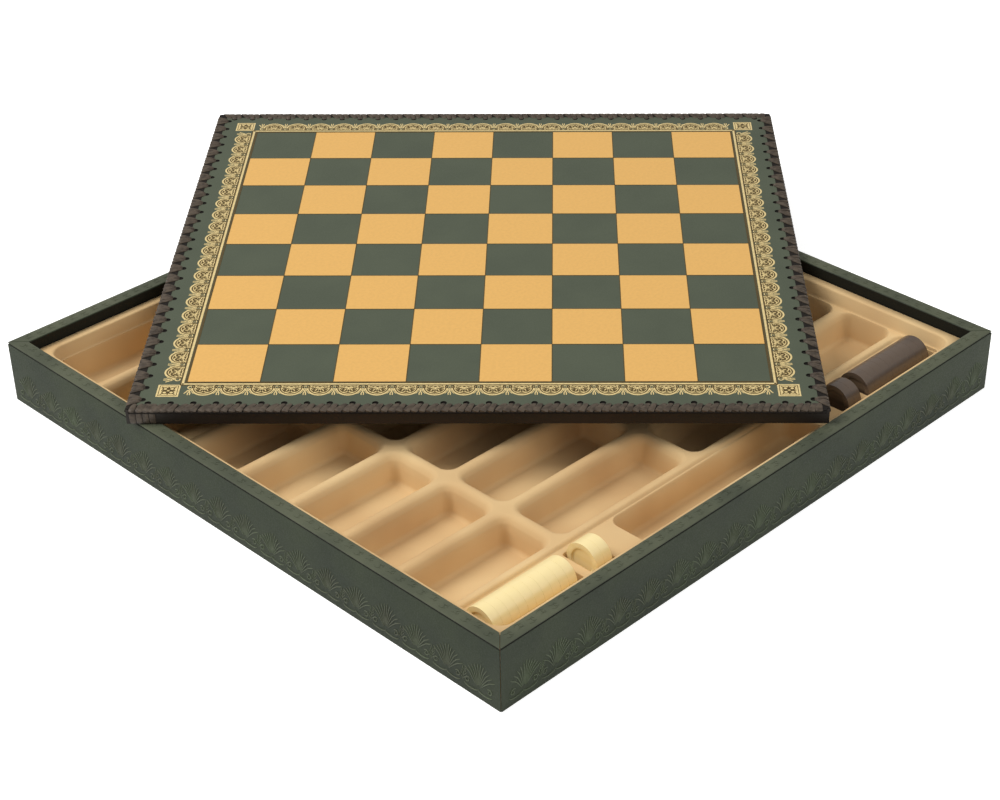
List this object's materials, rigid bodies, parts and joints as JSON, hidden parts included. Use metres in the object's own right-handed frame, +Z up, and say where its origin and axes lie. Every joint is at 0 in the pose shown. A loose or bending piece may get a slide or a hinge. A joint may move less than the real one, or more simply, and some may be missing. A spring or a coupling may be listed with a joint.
{
  "type": "chess box",
  "caption": "Shallow square box with a storage tray for chess pieces and draughts, and a loose laced playing board that closes it.",
  "frame": {"origin": "centre of the box's underside, on the surface that it stands on", "axes": "+Z up; +X along the side that keeps the draughts, from the light ones to the dark ones; +Y from that side to the last row of cells"},
  "size_m": [0.4658, 0.4727, 0.0421],
  "materials": {
    "hardboard": "matt",
    "lining_cloth": "matt cloth",
    "wood_core": "sawn, hidden",
    "green_box_leather": "embossed, semi-matt",
    "flocked_tray": "flocked, matt",
    "board_lining": "plain, semi-matt",
    "green_board_leather": "smooth, semi-matt",
    "gold_print": "foil print, satin",
    "brown_edge_leather": "plain",
    "brown_lace": "plain lace",
    "light_wood": "turned, lacquered",
    "dark_wood": "turned, stained"
  },
  "bodies": {
    "box": {"bottom_panel": "hardboard", "underside_lining": "lining_cloth", "wall_front_right": "wood_core", "wall_back_right": "wood_core", "wall_back_left": "wood_core", "wall_front_left": "wood_core", "cover_front_right": "green_box_leather", "cover_back_right": "green_box_leather", "cover_back_left": "green_box_leather", "cover_front_left": "green_box_leather", "tray": "flocked_tray"},
    "board": {"board_lining": "board_lining", "board_core": "wood_core", "board_top_leather": "green_board_leather", "light_squares": "gold_print", "gold_border": "gold_print", "board_edge_front": "brown_edge_leather", "board_edge_right": "brown_edge_leather", "board_edge_back": "brown_edge_leather", "board_edge_left": "brown_edge_leather", "lacing_front": "brown_lace", "lacing_right": "brown_lace", "lacing_back": "brown_lace", "lacing_left": "brown_lace"},
    "light_stack": {"light_stack": "light_wood"},
    "light_pair": {"light_pair": "light_wood"},
    "dark_stack": {"dark_stack": "dark_wood"},
    "dark_pair": {"dark_pair": "dark_wood"}
  },
  "joints": [
    {"name": "board_lift", "type": "slide", "parent": "box", "child": "board", "axis": [0, 0, 1], "range_m": [0, 0.12]},
    {"name": "light_stack_lift", "type": "slide", "parent": "box", "child": "light_stack", "axis": [0, 0, 1], "range_m": [0, 0.06]},
    {"name": "light_pair_lift", "type": "slide", "parent": "box", "child": "light_pair", "axis": [0, 0, 1], "range_m": [0, 0.06]},
    {"name": "dark_stack_lift", "type": "slide", "parent": "box", "child": "dark_stack", "axis": [0, 0, 1], "range_m": [0, 0.06]},
    {"name": "dark_pair_lift", "type": "slide", "parent": "box", "child": "dark_pair", "axis": [0, 0, 1], "range_m": [0, 0.06]}
  ]
}
